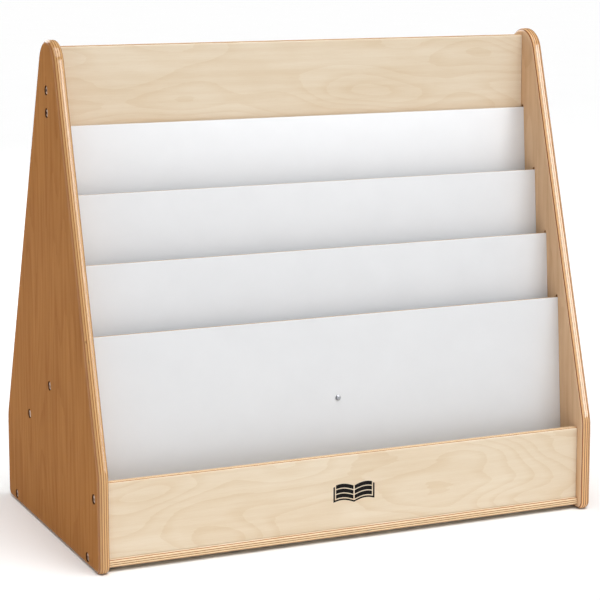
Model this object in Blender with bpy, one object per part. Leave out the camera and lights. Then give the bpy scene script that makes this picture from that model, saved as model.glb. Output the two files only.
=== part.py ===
"""Book display stand: two A-shaped plywood sides, four leaning white panels with
pocket floors between them, a back board, a front lip, a bottom shelf and a rear brace,
held by connector bolts that go through the sides into inserts in the board ends."""

import math

import bmesh
import bpy
from mathutils import Vector

MM = 0.001
GAP = 0.3 * MM            # clearance between pieces that touch

# Overall size
WIDTH = 762 * MM
DEPTH = 430 * MM
HEIGHT = 700 * MM

# Side panels: a vertical toe at the front and back, then two slopes up to a round crown
SIDE_THICK = 16 * MM
CROWN_Y = 197 * MM        # from the front edge
CROWN_RADIUS = 37 * MM
FRONT_TOE = 134 * MM
REAR_TOE = 128 * MM
FOOT_RADIUS = 12 * MM
KNEE_RADIUS = 60 * MM
SIDE_ROUNDOVER = 5.5 * MM
INNER_X = WIDTH / 2 - SIDE_THICK

# Boards that run from side to side
BOARD_THICK = 12 * MM
BOARD_WIDTH = 2 * (INNER_X - GAP)
BACK_BOARD_Y = 193 * MM
BACK_BOARD_TOP = 691 * MM
BACK_BOARD_HEIGHT = 150 * MM
SHELF_Y = 10 * MM
SHELF_DEPTH = 410 * MM
SHELF_Z = 6 * MM
LIP_Y = 14 * MM
LIP_TOP = 123 * MM
BRACE_CENTRE_Y = 261 * MM
BRACE_CENTRE_Z = 183.5 * MM
BRACE_DEPTH = 175 * MM
BRACE_SLOPE = math.radians(31.8)

# Rack of display panels: each leans back and stands lower and further forward than the last
RACK_LEAN = math.radians(4.3)
RACK_Y = 186 * MM         # top front edge of the highest panel
RACK_Z = 582 * MM
PANEL_COUNT = 4
PANEL_THICK = 6 * MM
PANEL_PITCH = 29.5 * MM   # from face to face, square to the panels
PANEL_STEP = 94 * MM      # from top to top, along the panels
POCKET_DEPTH = 110 * MM
SLOT_DEPTH = 6 * MM       # how far panel and floor ends go into the sides
FLOOR_THICK = 12 * MM

# Fasteners
COUNTERBORE_RADIUS = 6.6 * MM
COUNTERBORE_DEPTH = 3.6 * MM
BOLT_RADIUS = 3 * MM
BOLT_LENGTH = 34 * MM
BOLT_HEAD_RADIUS = 5.8 * MM
BOLT_HEAD_HEIGHT = 2.6 * MM
SOCKET_RADIUS = 2.1 * MM
SOCKET_DEPTH = 1.8 * MM
INSERT_RADIUS = 4.2 * MM
INSERT_LENGTH = 18 * MM
END_BORE_DEPTH = 24 * MM
SCREW_RADIUS = 1.9 * MM
SCREW_LENGTH = 26 * MM
SCREW_HEAD_RADIUS = 4 * MM
SCREW_HEAD_HEIGHT = 1.8 * MM


# ---------------------------------------------------------------- materials and objects

def material(name, colour, roughness, metallic=0.0):
    made = bpy.data.materials.new(name)
    made.use_nodes = True
    shader = made.node_tree.nodes["Principled BSDF"]
    shader.inputs["Base Color"].default_value = (*colour, 1.0)
    shader.inputs["Roughness"].default_value = roughness
    shader.inputs["Metallic"].default_value = metallic
    return made


HONEY_PLY = (0.36, 0.17, 0.06)
LIGHT_PLY = (0.80, 0.66, 0.45)
WHITE_LAMINATE = (0.76, 0.77, 0.78)
BRONZE = (0.28, 0.16, 0.09)
BRASS = (0.65, 0.48, 0.20)
ZINC = (0.55, 0.55, 0.56)


def empty(name, location, parent=None, rotation_x=0.0):
    made = bpy.data.objects.new(name, None)
    bpy.context.scene.collection.objects.link(made)
    made.location = location
    made.rotation_euler = (rotation_x, 0.0, 0.0)
    made.parent = parent
    return made


def add_object(name, mesh, parent, location=(0, 0, 0), rotation=(0, 0, 0)):
    made = bpy.data.objects.new(name, mesh)
    bpy.context.scene.collection.objects.link(made)
    made.parent = parent
    made.location = location
    made.rotation_euler = rotation
    return made


def add_piece(name, mesh, parent, colour, roughness, metallic=0.0, **placing):
    made = add_object(name, mesh, parent, **placing)
    if not mesh.materials:
        mesh.materials.append(material(name, colour, roughness, metallic))
    return made


def add_cutter(name, mesh, parent, **placing):
    made = add_object(name, mesh, parent, **placing)
    made.hide_render = True
    made.display_type = 'WIRE'
    return made


def cut(target, cutter):
    modifier = target.modifiers.new("cut_" + cutter.name, 'BOOLEAN')
    modifier.operation = 'DIFFERENCE'
    modifier.solver = 'EXACT'
    modifier.object = cutter


# ---------------------------------------------------------------- shapes

def mesh_from(name, work):
    bmesh.ops.recalc_face_normals(work, faces=work.faces)
    mesh = bpy.data.meshes.new(name)
    work.to_mesh(mesh)
    work.free()
    return mesh


def box_mesh(name, low, high, round_front=0.0, round_back=0.0, round_top=True, round_bottom=True):
    """A board whose long front and back edges can be rounded, at the top, the bottom or both."""
    work = bmesh.new()
    bmesh.ops.create_cube(work, size=1.0)
    size = Vector(high) - Vector(low)
    centre = (Vector(high) + Vector(low)) / 2
    for vertex in work.verts:
        vertex.co = Vector([vertex.co[i] * size[i] for i in range(3)]) + centre
    for radius, y in ((round_front, low[1]), (round_back, high[1])):
        levels = [z for z, wanted in ((low[2], round_bottom), (high[2], round_top)) if wanted]
        edges = [edge for edge in work.edges
                 if all(abs(v.co.y - y) < 1e-6 for v in edge.verts)
                 and any(all(abs(v.co.z - z) < 1e-6 for v in edge.verts) for z in levels)]
        if radius > 0.0:
            bmesh.ops.bevel(work, geom=edges, offset=radius, segments=4, profile=0.5,
                            affect='EDGES')
    return mesh_from(name, work)


def extruded_mesh(name, outline, low_x, high_x):
    """A flat outline of (y, z) points, drawn out along X."""
    work = bmesh.new()
    corners = [work.verts.new((low_x, y, z)) for y, z in outline]
    face = work.faces.new(corners)
    drawn = bmesh.ops.extrude_face_region(work, geom=[face])
    moved = [item for item in drawn["geom"] if isinstance(item, bmesh.types.BMVert)]
    bmesh.ops.translate(work, verts=moved, vec=(high_x - low_x, 0, 0))
    return mesh_from(name, work)


def turned_mesh(name, profile, segments, closed_loop=False):
    """A profile of (radius, height) points turned about Z; radius 0 is a point on the axis."""
    work = bmesh.new()
    rings = []
    for radius, height in profile:
        if radius == 0.0:
            rings.append([work.verts.new((0, 0, height))] * segments)
            continue
        turns = [2 * math.pi * i / segments for i in range(segments)]
        rings.append([work.verts.new((radius * math.cos(a), radius * math.sin(a), height))
                      for a in turns])
    pairs = list(zip(rings, rings[1:]))
    if closed_loop:
        pairs.append((rings[-1], rings[0]))
    for lower, upper in pairs:
        for i in range(segments):
            j = (i + 1) % segments
            around = [lower[i], lower[j], upper[j], upper[i]]
            work.faces.new(list(dict.fromkeys(around)))
    mesh = mesh_from(name, work)
    mesh.shade_smooth()
    mesh.set_sharp_from_angle(angle=math.radians(35))
    return mesh


def arc(centre, radius, start, end, steps):
    angles = [start + (end - start) * i / steps for i in range(steps + 1)]
    return [(centre[0] + radius * math.cos(a), centre[1] + radius * math.sin(a)) for a in angles]


def rounded_outline(corners, degrees_per_step=9.0):
    """Round each (y, z, radius) corner of a polygon with a tangent arc."""
    points = []
    for i, (y, z, radius) in enumerate(corners):
        here = Vector((y, z))
        before = (Vector(corners[i - 1][:2]) - here).normalized()
        after = (Vector(corners[(i + 1) % len(corners)][:2]) - here).normalized()
        half = math.acos(before.dot(after)) / 2
        centre = here + (before + after).normalized() * radius / math.sin(half)
        first = here + before * radius / math.tan(half) - centre
        last = here + after * radius / math.tan(half) - centre
        start = math.atan2(first.y, first.x)
        sweep = math.remainder(math.atan2(last.y, last.x) - start, 2 * math.pi)
        steps = max(2, round(abs(math.degrees(sweep)) / degrees_per_step))
        points += arc(centre, radius, start, start + sweep, steps)
    return points


# ---------------------------------------------------------------- side panels

def lean_to_crown(toe_y, toe_z):
    """Direction of the edge that leaves a toe and touches the crown's circle."""
    centre = Vector((CROWN_Y - toe_y, HEIGHT - CROWN_RADIUS - toe_z))
    swing = math.asin(CROWN_RADIUS / centre.length)
    side = 1.0 if toe_y < CROWN_Y else -1.0
    angle = math.atan2(centre.y, centre.x) + side * swing
    return Vector((math.cos(angle), math.sin(angle)))


def side_outline():
    front = lean_to_crown(0.0, FRONT_TOE)
    rear = lean_to_crown(DEPTH, REAR_TOE)
    # the two sloping edges meet above the crown at a point that the crown's arc cuts off
    along = (DEPTH * rear.y - (REAR_TOE - FRONT_TOE) * rear.x) / (front.x * rear.y - front.y * rear.x)
    apex = Vector((0.0, FRONT_TOE)) + front * along
    return rounded_outline([
        (0.0, 0.0, FOOT_RADIUS),
        (DEPTH, 0.0, FOOT_RADIUS),
        (DEPTH, REAR_TOE, KNEE_RADIUS),
        (apex.x, apex.y, CROWN_RADIUS),
        (0.0, FRONT_TOE, KNEE_RADIUS),
    ])


def make_side(name, low_x, stand):
    mesh = extruded_mesh(name, side_outline(), low_x, low_x + SIDE_THICK)
    side = add_piece(name, mesh, stand, HONEY_PLY, 0.45)
    bevel = side.modifiers.new("roundover", 'BEVEL')
    bevel.width = SIDE_ROUNDOVER
    bevel.segments = 4
    bevel.limit_method = 'ANGLE'
    bevel.angle_limit = math.radians(60)
    return side


# ---------------------------------------------------------------- boards

def make_boards(stand):
    """Back board, bottom shelf, front lip and the sloping rear brace."""
    half = BOARD_WIDTH / 2
    back = box_mesh("back_board", (-half, 0, -BACK_BOARD_HEIGHT), (half, BOARD_THICK, 0),
                    round_front=3 * MM, round_back=3 * MM, round_bottom=False)
    shelf = box_mesh("bottom_shelf", (-half, 0, 0), (half, SHELF_DEPTH, BOARD_THICK),
                     round_front=4 * MM, round_back=4 * MM)
    lip_height = LIP_TOP - SHELF_Z - BOARD_THICK - GAP
    lip = box_mesh("front_lip", (-half, 0, -lip_height), (half, BOARD_THICK, 0),
                   round_front=3 * MM, round_back=3 * MM, round_bottom=False)
    brace = box_mesh("rear_brace", (-half, -BRACE_DEPTH / 2, -BOARD_THICK / 2),
                     (half, BRACE_DEPTH / 2, BOARD_THICK / 2),
                     round_front=2 * MM, round_back=2 * MM)
    return {
        "back_board": add_piece("back_board", back, stand, LIGHT_PLY, 0.4,
                                location=(0, BACK_BOARD_Y, BACK_BOARD_TOP)),
        "bottom_shelf": add_piece("bottom_shelf", shelf, stand, LIGHT_PLY, 0.4,
                                  location=(0, SHELF_Y, SHELF_Z)),
        "front_lip": add_piece("front_lip", lip, stand, LIGHT_PLY, 0.4,
                               location=(0, LIP_Y, LIP_TOP)),
        "rear_brace": add_piece("rear_brace", brace, stand, LIGHT_PLY, 0.4,
                                location=(0, BRACE_CENTRE_Y, BRACE_CENTRE_Z),
                                rotation=(-BRACE_SLOPE, 0, 0)),
    }


# ---------------------------------------------------------------- panels and pocket floors

def make_panel(index, rack):
    """The lowest panel reaches down to the bottom shelf, the others stand on their pocket floor."""
    height = PANEL_STEP + POCKET_DEPTH - GAP
    if index == PANEL_COUNT - 1:
        back_corner_y = PANEL_THICK - index * PANEL_PITCH
        shelf_top = SHELF_Z + BOARD_THICK + GAP
        lowest = (RACK_Z - back_corner_y * math.sin(RACK_LEAN) - shelf_top) / math.cos(RACK_LEAN)
        height = lowest - index * PANEL_STEP
    half = INNER_X + SLOT_DEPTH - GAP
    name = "display_panel_%d" % (index + 1)
    mesh = box_mesh(name, (-half, 0, -height), (half, PANEL_THICK, 0))
    panel = add_piece(name, mesh, rack, WHITE_LAMINATE, 0.25,
                      location=(0, -index * PANEL_PITCH, -index * PANEL_STEP))
    slot = slot_mesh("slot_for_" + name, height)
    return panel, add_cutter("slot_for_" + name, slot, rack, location=panel.location)


def slot_mesh(name, height):
    """A slot for a panel's end: a little wider than the panel, with a round upper end."""
    radius = PANEL_THICK / 2 + GAP
    middle = PANEL_THICK / 2
    outline = [(middle - radius, -height - GAP), (middle + radius, -height - GAP)]
    outline += arc((middle, GAP), radius, 0.0, math.pi, 8)
    reach = INNER_X + SLOT_DEPTH
    return extruded_mesh(name, outline, -reach, reach)


def make_floor(index, rack):
    """A strip that closes the bottom of the pocket in front of a panel and carries the panel."""
    front = PANEL_THICK - (index + 1) * PANEL_PITCH + GAP
    back = PANEL_THICK - index * PANEL_PITCH
    top = -(index + 1) * PANEL_STEP - POCKET_DEPTH
    half = INNER_X + SLOT_DEPTH - GAP
    name = "pocket_floor_%d" % (index + 1)
    mesh = box_mesh(name, (-half, 0, -FLOOR_THICK), (half, back - front, 0))
    floor = add_piece(name, mesh, rack, LIGHT_PLY, 0.5, location=(0, front, top))
    reach = INNER_X + SLOT_DEPTH
    slot = box_mesh("slot_for_" + name, (-reach, -GAP, -FLOOR_THICK - GAP),
                    (reach, back - front + GAP, GAP))
    return floor, add_cutter("slot_for_" + name, slot, rack, location=floor.location)


def make_screw(index, rack, panel, floor):
    """A round-headed screw through the middle of a panel into the edge of the floor behind it."""
    edge = SCREW_HEAD_RADIUS
    profile = [(0.0, -SCREW_LENGTH), (SCREW_RADIUS, -SCREW_LENGTH + 4 * MM), (SCREW_RADIUS, GAP),
               (edge, GAP), (edge, 0.4 * SCREW_HEAD_HEIGHT), (0.6 * edge, SCREW_HEAD_HEIGHT),
               (0.3 * edge, SCREW_HEAD_HEIGHT), (0.0, 0.4 * SCREW_HEAD_HEIGHT)]
    name = "panel_screw_%d" % (index + 1)
    place = (0, panel.location.y, floor.location.z - FLOOR_THICK / 2)
    add_piece(name, turned_mesh(name, profile, 16), rack, ZINC, 0.35, 1.0,
              location=place, rotation=(math.pi / 2, 0, 0))
    bore_profile = cylinder_profile(SCREW_RADIUS + GAP, -SCREW_LENGTH - MM, MM)
    bore = turned_mesh("bore_for_" + name, bore_profile, 16)
    cutter = add_cutter("bore_for_" + name, bore, rack, location=place,
                        rotation=(math.pi / 2, 0, 0))
    cut(panel, cutter)
    cut(floor, cutter)


def cylinder_profile(radius, low, high):
    return [(0.0, low), (radius, low), (radius, high), (0.0, high)]


# ---------------------------------------------------------------- connector bolts

def bolt_places(boards):
    """Where each board's ends are bolted, as (board, y, z) on the side panel."""
    back_y = BACK_BOARD_Y + BOARD_THICK / 2
    shelf_z = SHELF_Z + BOARD_THICK / 2
    brace_reach = 59.7 * MM
    brace_run = brace_reach * math.cos(BRACE_SLOPE)
    brace_rise = brace_reach * math.sin(BRACE_SLOPE)
    return [
        (boards["back_board"], back_y, BACK_BOARD_TOP - 60 * MM),
        (boards["back_board"], back_y, BACK_BOARD_TOP - 91 * MM),
        (boards["rear_brace"], BRACE_CENTRE_Y - brace_run, BRACE_CENTRE_Z + brace_rise),
        (boards["rear_brace"], BRACE_CENTRE_Y + brace_run, BRACE_CENTRE_Z - brace_rise),
        (boards["front_lip"], LIP_Y + BOARD_THICK / 2, LIP_TOP - 22 * MM),
        (boards["bottom_shelf"], 51 * MM, shelf_z),
        (boards["bottom_shelf"], 387 * MM, shelf_z),
    ]


def bolt_mesh():
    """Shank, domed round head and the drive socket in it; the head's underside is at height 0."""
    tip = -BOLT_LENGTH
    rim = 0.9 * MM
    dome = [(BOLT_HEAD_RADIUS * math.cos(a), rim + (BOLT_HEAD_HEIGHT - rim) * math.sin(a))
            for a in (0.0, math.radians(35), math.radians(65))]
    floor = BOLT_HEAD_HEIGHT - SOCKET_DEPTH
    profile = [(0.0, tip), (BOLT_RADIUS, tip), (BOLT_RADIUS, GAP), (BOLT_HEAD_RADIUS, GAP)] + dome
    profile += [(SOCKET_RADIUS, BOLT_HEAD_HEIGHT - 0.1 * MM), (SOCKET_RADIUS, floor), (0.0, floor)]
    return turned_mesh("connector_bolt", profile, 16)


def insert_mesh():
    """A plain bush with a bore that clears the bolt."""
    inner = BOLT_RADIUS + GAP
    profile = [(INSERT_RADIUS, 0.0), (INSERT_RADIUS, INSERT_LENGTH), (inner, INSERT_LENGTH), (inner, 0.0)]
    return turned_mesh("threaded_insert", profile, 16, closed_loop=True)


def side_bore_mesh():
    """The cut for one bolt through a side panel: a clearance bore with a wide seat for the head."""
    bore = BOLT_RADIUS + GAP
    inner_end = COUNTERBORE_DEPTH - SIDE_THICK - MM
    outer_end = COUNTERBORE_DEPTH + MM
    profile = [(0.0, inner_end), (bore, inner_end), (bore, 0.0), (COUNTERBORE_RADIUS, 0.0),
               (COUNTERBORE_RADIUS, outer_end), (0.0, outer_end)]
    return turned_mesh("side_bore", profile, 16)


def bolt_together(sides, boards, stand):
    bolt = bolt_mesh()
    insert = insert_mesh()
    side_bore = side_bore_mesh()
    end_profile = cylinder_profile(INSERT_RADIUS + GAP, 0.0, END_BORE_DEPTH + MM)
    end_bore = turned_mesh("end_bore", end_profile, 16)
    seat_x = WIDTH / 2 - COUNTERBORE_DEPTH
    insert_x = INNER_X - 2 * MM - INSERT_LENGTH
    for count, (board, y, z) in enumerate(bolt_places(boards), start=1):
        for hand, direction in (("left", -1), ("right", 1)):
            label = "%s_%d" % (hand, count)
            outward = (0, direction * math.pi / 2, 0)
            seat = (direction * seat_x, y, z)
            add_piece("connector_bolt_" + label, bolt, stand, BRONZE, 0.35, 1.0,
                      location=seat, rotation=outward)
            add_piece("threaded_insert_" + label, insert, stand, BRASS, 0.4, 1.0,
                      location=(direction * insert_x, y, z), rotation=outward)
            cut(sides[hand], add_cutter("side_bore_" + label, side_bore, stand,
                                        location=seat, rotation=outward))
            cut(board, add_cutter("end_bore_" + label, end_bore, stand,
                                  location=(direction * (INNER_X - END_BORE_DEPTH), y, z),
                                  rotation=outward))


# ---------------------------------------------------------------- the stand

def main():
    for old in list(bpy.data.objects):
        bpy.data.objects.remove(old)
    stand = empty("stand", (0, -DEPTH / 2, 0))
    rack = empty("rack", (0, RACK_Y, RACK_Z), parent=stand, rotation_x=-RACK_LEAN)
    sides = {
        "left": make_side("side_panel_left", -WIDTH / 2, stand),
        "right": make_side("side_panel_right", INNER_X, stand),
    }
    boards = make_boards(stand)
    panels = []
    slots = []
    for index in range(PANEL_COUNT):
        panel, slot = make_panel(index, rack)
        panels.append(panel)
        slots.append(slot)
    for index in range(PANEL_COUNT - 1):
        floor, slot = make_floor(index, rack)
        slots.append(slot)
        make_screw(index, rack, panels[index + 1], floor)
    for side in sides.values():
        for slot in slots:
            cut(side, slot)
    bolt_together(sides, boards, stand)


main()
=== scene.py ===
# %% [markdown]
# # A book display stand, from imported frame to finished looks
# The frame holds the real sizes: two A-shaped plywood sides, four leaning white panels with
# pocket floors between them, a back board, a front lip, a bottom shelf, a sloping rear brace
# and the fasteners that hold it all. Each piece below is made again with finer edges, in the
# same place, and then gets its finish. Lengths are metres; MM turns millimetres into metres.

# %% Load the frame
import math

import bmesh
import bpy
from mathutils import Matrix, Vector


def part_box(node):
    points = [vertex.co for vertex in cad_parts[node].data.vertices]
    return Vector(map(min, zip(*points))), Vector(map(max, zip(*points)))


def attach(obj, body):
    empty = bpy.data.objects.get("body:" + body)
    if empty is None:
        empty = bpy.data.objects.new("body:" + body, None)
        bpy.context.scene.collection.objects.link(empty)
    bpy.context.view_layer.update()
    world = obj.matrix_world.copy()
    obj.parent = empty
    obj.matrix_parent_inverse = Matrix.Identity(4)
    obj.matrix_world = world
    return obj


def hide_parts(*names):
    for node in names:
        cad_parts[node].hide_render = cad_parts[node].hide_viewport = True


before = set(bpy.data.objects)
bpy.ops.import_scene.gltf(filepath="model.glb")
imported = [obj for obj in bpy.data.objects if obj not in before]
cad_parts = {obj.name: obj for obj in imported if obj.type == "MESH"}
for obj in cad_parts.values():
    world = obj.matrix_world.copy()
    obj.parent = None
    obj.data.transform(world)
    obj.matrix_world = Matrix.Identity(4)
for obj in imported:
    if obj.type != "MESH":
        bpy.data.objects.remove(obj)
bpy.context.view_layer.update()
MM = 0.001
BODY = "root"

# %% [markdown]
# ## Where the joints are
# Every bolt, slot and board place is read from the frame's own boxes, so nothing here can
# drift away from it. Only the thicknesses, edge radii and slopes are named again, because the
# box of a slanted board doesn't say them.

# %% Places read from the frame
SIDE_THICK = 16 * MM
BOARD_THICK = 12 * MM
PANEL_THICK = 6 * MM
GAP = 0.3 * MM
LEAN = math.radians(4.3)
BRACE_SLOPE = math.radians(31.8)
HANDS = {"left": -1, "right": 1}
BOLTS_PER_SIDE = 7


def middle_of(node):
    low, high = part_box(node)
    return (low + high) / 2


side_low, side_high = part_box("side_panel_right")
INNER_X = side_low.x
OUTER_X = side_high.x
FRONT_Y = side_low.y
seats = [middle_of("connector_bolt_right_%d" % n) for n in range(1, BOLTS_PER_SIDE + 1)]
print("bolts at (y, z) mm:", [(round(s.y / MM), round(s.z / MM)) for s in seats])

# %% [markdown]
# The rack is the set of leaning panels. Its origin is the top front edge of the highest panel,
# and one step leads from each panel's top edge to the next. A slanted box's highest point is
# that front edge, so both can be read from the boxes.

# %% The rack's origin and its step
PANEL_NODES = ["display_panel_%d" % n for n in range(1, 5)]
rack_turn = Matrix.Rotation(-LEAN, 4, 'X')


def top_front_edge(node):
    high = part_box(node)[1]
    return Vector((0, high.y - PANEL_THICK * math.cos(LEAN), high.z))


rack_origin = top_front_edge(PANEL_NODES[0])
rack_step = top_front_edge(PANEL_NODES[1]) - rack_origin
rack = Matrix.Translation(rack_origin) @ rack_turn
local_step = rack_turn.inverted().to_3x3() @ rack_step
PITCH = -local_step.y
STEP = -local_step.z
print("pitch and step in mm:", round(PITCH / MM, 2), round(STEP / MM, 2))

# %% [markdown]
# ## Mesh helpers
# Most of this stand is flat board with rounded edges. One way to make such a board is a cube
# with a Bevel modifier, which is quick but gives every edge the same radius. Here an outline
# with its own radius at each corner is lofted through rings, which keeps full control of each
# edge and gives an even mesh.

# %% Outlines with round corners
def arc(centre, radius, start, sweep, steps):
    angles = [start + sweep * i / steps for i in range(steps + 1)]
    return [centre + radius * Vector((math.cos(a), math.sin(a))) for a in angles]


def rounded_outline(corners, inset=0.0, step=math.radians(6)):
    """Points round a polygon of (y, z, radius) corners, moved inwards by inset.
    The number of points doesn't depend on the inset, so two such outlines can be joined."""
    points = []
    for i, (y, z, radius) in enumerate(corners):
        here = Vector((y, z))
        before = (Vector(corners[i - 1][:2]) - here).normalized()
        after = (Vector(corners[(i + 1) % len(corners)][:2]) - here).normalized()
        half = math.acos(before.dot(after)) / 2
        centre = here + (before + after).normalized() * radius / math.sin(half)
        first = here + before * radius / math.tan(half) - centre
        last = here + after * radius / math.tan(half) - centre
        start = math.atan2(first.y, first.x)
        sweep = math.remainder(math.atan2(last.y, last.x) - start, 2 * math.pi)
        steps = max(3, round(abs(sweep) / step))
        points += arc(centre, radius - inset, start, sweep, steps)
    return points


# %% A loft through rings of points
CREASE = math.radians(32)


def new_object(name, mesh):
    made = bpy.data.objects.new(name, mesh)
    bpy.context.scene.collection.objects.link(made)
    return made


def section(x, outline):
    return [Vector((x, p.x, p.y)) for p in outline]


def lofted(name, rings, closed=False, smooth=True):
    """Join rings of the same number of points. The two end rings are capped with flat faces,
    or joined to each other when closed is true."""
    work = bmesh.new()
    made = [[work.verts.new(point) for point in ring] for ring in rings]
    pairs = list(zip(made, made[1:]))
    if closed:
        pairs.append((made[-1], made[0]))
    for lower, upper in pairs:
        for i, vertex in enumerate(lower):
            j = (i + 1) % len(lower)
            work.faces.new((vertex, lower[j], upper[j], upper[i])).smooth = smooth
    if not closed:
        work.faces.new(made[0])
        work.faces.new(made[-1])
    bmesh.ops.recalc_face_normals(work, faces=work.faces)
    mesh = bpy.data.meshes.new(name)
    work.to_mesh(mesh)
    work.free()
    mesh.set_sharp_from_angle(angle=CREASE)
    return new_object(name, mesh)


# %% [markdown]
# Where a smooth roundover meets a wide flat face, plain smooth shading would bend the light
# far into the flat face. A Weighted Normal modifier lets the larger face decide the normal, so
# flats stay flat and roundovers start from them without a seam.

# %% Cutting with other solids
def cut_away(piece, cutters):
    """Subtract each cutter, keep the result as a plain mesh and remove the cutters."""
    for cutter in cutters:
        modifier = piece.modifiers.new("cut", 'BOOLEAN')
        modifier.operation = 'DIFFERENCE'
        modifier.solver = 'EXACT'
        modifier.object = cutter
    plain_mesh(piece)
    for cutter in cutters:
        bpy.data.objects.remove(cutter)
    piece.data.set_sharp_from_angle(angle=CREASE)
    even = piece.modifiers.new("even", 'WEIGHTED_NORMAL')
    even.weight = 100
    even.keep_sharp = True
    plain_mesh(piece)


def plain_mesh(piece):
    """Swap a piece's modifiers for the mesh that they give."""
    bpy.context.view_layer.update()
    ready = piece.evaluated_get(bpy.context.evaluated_depsgraph_get())
    mesh = bpy.data.meshes.new_from_object(ready)
    piece.modifiers.clear()
    piece.data = mesh
    mesh.name = piece.name


def settle(piece, place):
    """Move a mesh into place inside its own data, so that its object stays at the origin."""
    piece.data.transform(place)
    return piece


def count_faces(piece):
    print(piece.name, len(piece.data.polygons), "faces")


# %% [markdown]
# ## Turned shapes
# Bolts, screws, inserts and the bores for them are all turned about an axis. A ring's radius
# may also depend on the angle: that turns the same loft into a hexagonal socket or a cross slot.

# %% Rings about the Z axis
def ring(radius, height, sides):
    turns = [2 * math.pi * i / sides for i in range(sides)]
    size = radius if callable(radius) else (lambda angle: radius)
    return [Vector((size(a) * math.cos(a), size(a) * math.sin(a), height)) for a in turns]


def turned(name, profile, sides, closed=False):
    return lofted(name, [ring(radius, height, sides) for radius, height in profile], closed)


def turned_outwards(name, profile, sides, direction, x, seat):
    """A turned shape on a bolt's axis, with its origin at x and its +Z out of the stand."""
    place = Matrix.Translation((direction * x, seat.y, seat.z))
    turn = Matrix.Rotation(direction * math.pi / 2, 4, 'Y')
    return settle(turned(name, profile, sides), place @ turn)


# %% [markdown]
# ## A small language for shader graphs
# A shader graph is easier to read when one line adds one node. This helper class adds a node,
# joins its inputs and hands back the output socket, so graphs read like formulas.

# %% The graph helper
class Graph:
    def __init__(self, tree):
        self.tree = tree

    def add(self, kind, inputs=(), **settings):
        """Add a node. Inputs are (name or index, value or socket) pairs."""
        made = self.tree.nodes.new(kind)
        for name, value in settings.items():
            setattr(made, name, value)
        self.feed(made, inputs)
        return made

    def feed(self, node, inputs):
        """Join the sockets among a node's inputs and set the plain values."""
        for key, value in inputs:
            if isinstance(value, bpy.types.NodeSocket):
                self.join(value, node.inputs[key])
            else:
                node.inputs[key].default_value = value

    def join(self, start, end):
        self.tree.links.new(start, end)

    def math(self, operation, a, b=0.0, c=0.0):
        pairs = [(0, a), (1, b), (2, c)]
        return self.add("ShaderNodeMath", pairs, operation=operation).outputs[0]

    def plus(self, a, b):
        return self.math('ADD', a, b)

    def minus(self, a, b):
        return self.math('SUBTRACT', a, b)

    def times(self, a, b):
        return self.math('MULTIPLY', a, b)

    def times_plus(self, a, b, c):
        return self.math('MULTIPLY_ADD', a, b, c)

    def vector(self, x=0.0, y=0.0, z=0.0):
        return self.add("ShaderNodeCombineXYZ", [(0, x), (1, y), (2, z)]).outputs[0]

    def split(self, vector):
        return self.add("ShaderNodeSeparateXYZ", [(0, vector)]).outputs

    def noise(self, vector, scale=1.0, detail=2.0, roughness=0.5):
        pairs = [("Vector", vector), ("Scale", scale), ("Detail", detail), ("Roughness", roughness)]
        return self.add("ShaderNodeTexNoise", pairs, noise_dimensions='3D').outputs["Fac"]

    def ramp(self, value, low, high, low_out=0.0, high_out=1.0):
        """Smooth step: low_out below low, high_out above high."""
        pairs = [("Value", value), ("From Min", low), ("From Max", high),
                 ("To Min", low_out), ("To Max", high_out)]
        made = self.add("ShaderNodeMapRange", pairs, interpolation_type='SMOOTHSTEP')
        return made.outputs["Result"]

    def mix(self, factor, a, b):
        pairs = [(0, factor), (6, a), (7, b)]
        return self.add("ShaderNodeMix", pairs, data_type='RGBA').outputs[2]

    def tone(self, colour, factor):
        """Scale a colour's brightness by a factor near 1."""
        pairs = [(0, colour), ("Scale", factor)]
        return self.add("ShaderNodeVectorMath", pairs, operation='SCALE').outputs[0]

    def emboss(self, shader, height, strength, distance):
        """Drive a shader's normal with a height pattern."""
        pairs = [("Height", height), ("Strength", strength), ("Distance", distance)]
        bump = self.add("ShaderNodeBump", pairs)
        self.join(bump.outputs[0], shader.inputs["Normal"])


def new_material(name):
    """A node material with its graph helper and its shader."""
    made = bpy.data.materials.new(name)
    made.use_nodes = True
    return made, Graph(made.node_tree), made.node_tree.nodes["Principled BSDF"]


def object_place(graph):
    return graph.add("ShaderNodeTexCoord").outputs["Object"]


def swatch(*levels):
    """A red, green and blue as people read them off a chart, 0 to 255, as linear light."""
    parts = [level / 255 for level in levels]
    return (*[v / 12.92 if v <= 0.04045 else ((v + 0.055) / 1.055) ** 2.4 for v in parts], 1.0)


# %% [markdown]
# ## Coordinates that belong to a board
# Wood grain has to follow its board. UV maps could do that, but plywood shows its layers where
# an edge is rounded, so a pattern in solid space suits it better. A Mapping node of the Texture
# kind turns the object's coordinates into the board's own: X along the grain, Y across it and
# Z through the thickness, in millimetres.

# %% Board coordinates
def board_axes(grain, through):
    """Euler turn of a board whose grain runs along one direction and whose layers stack along
    the other."""
    grain = Vector(grain)
    through = Vector(through)
    across = through.cross(grain)
    return Matrix((grain, across, through)).transposed().to_euler()


def board_space(graph, origin, turn):
    pairs = [("Vector", object_place(graph)), ("Location", origin), ("Rotation", turn),
             ("Scale", (MM, MM, MM))]
    return graph.add("ShaderNodeMapping", pairs, vector_type='TEXTURE').outputs[0]


def wrapped_space(graph, space, period):
    """Repeat the layers every period, for boards that are copied straight through."""
    x, y, z = graph.split(space)
    start = -period / MM / 2
    return graph.vector(x, y, graph.math('WRAP', z, period / MM + start, start))


# %% [markdown]
# ## Birch plywood
# The real boards are birch plywood: thin layers glued with the grain of every second one turned
# by a right angle, under two face veneers. A rounded edge cuts through the layers and shows them
# as stripes, pale where the grain runs along the edge and darker where its ends show. One node
# group holds this as a solid pattern, so faces, roundovers and bores all agree.
# The veneer figure comes from contour lines of a stretched noise, which look like peeled birch.

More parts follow.
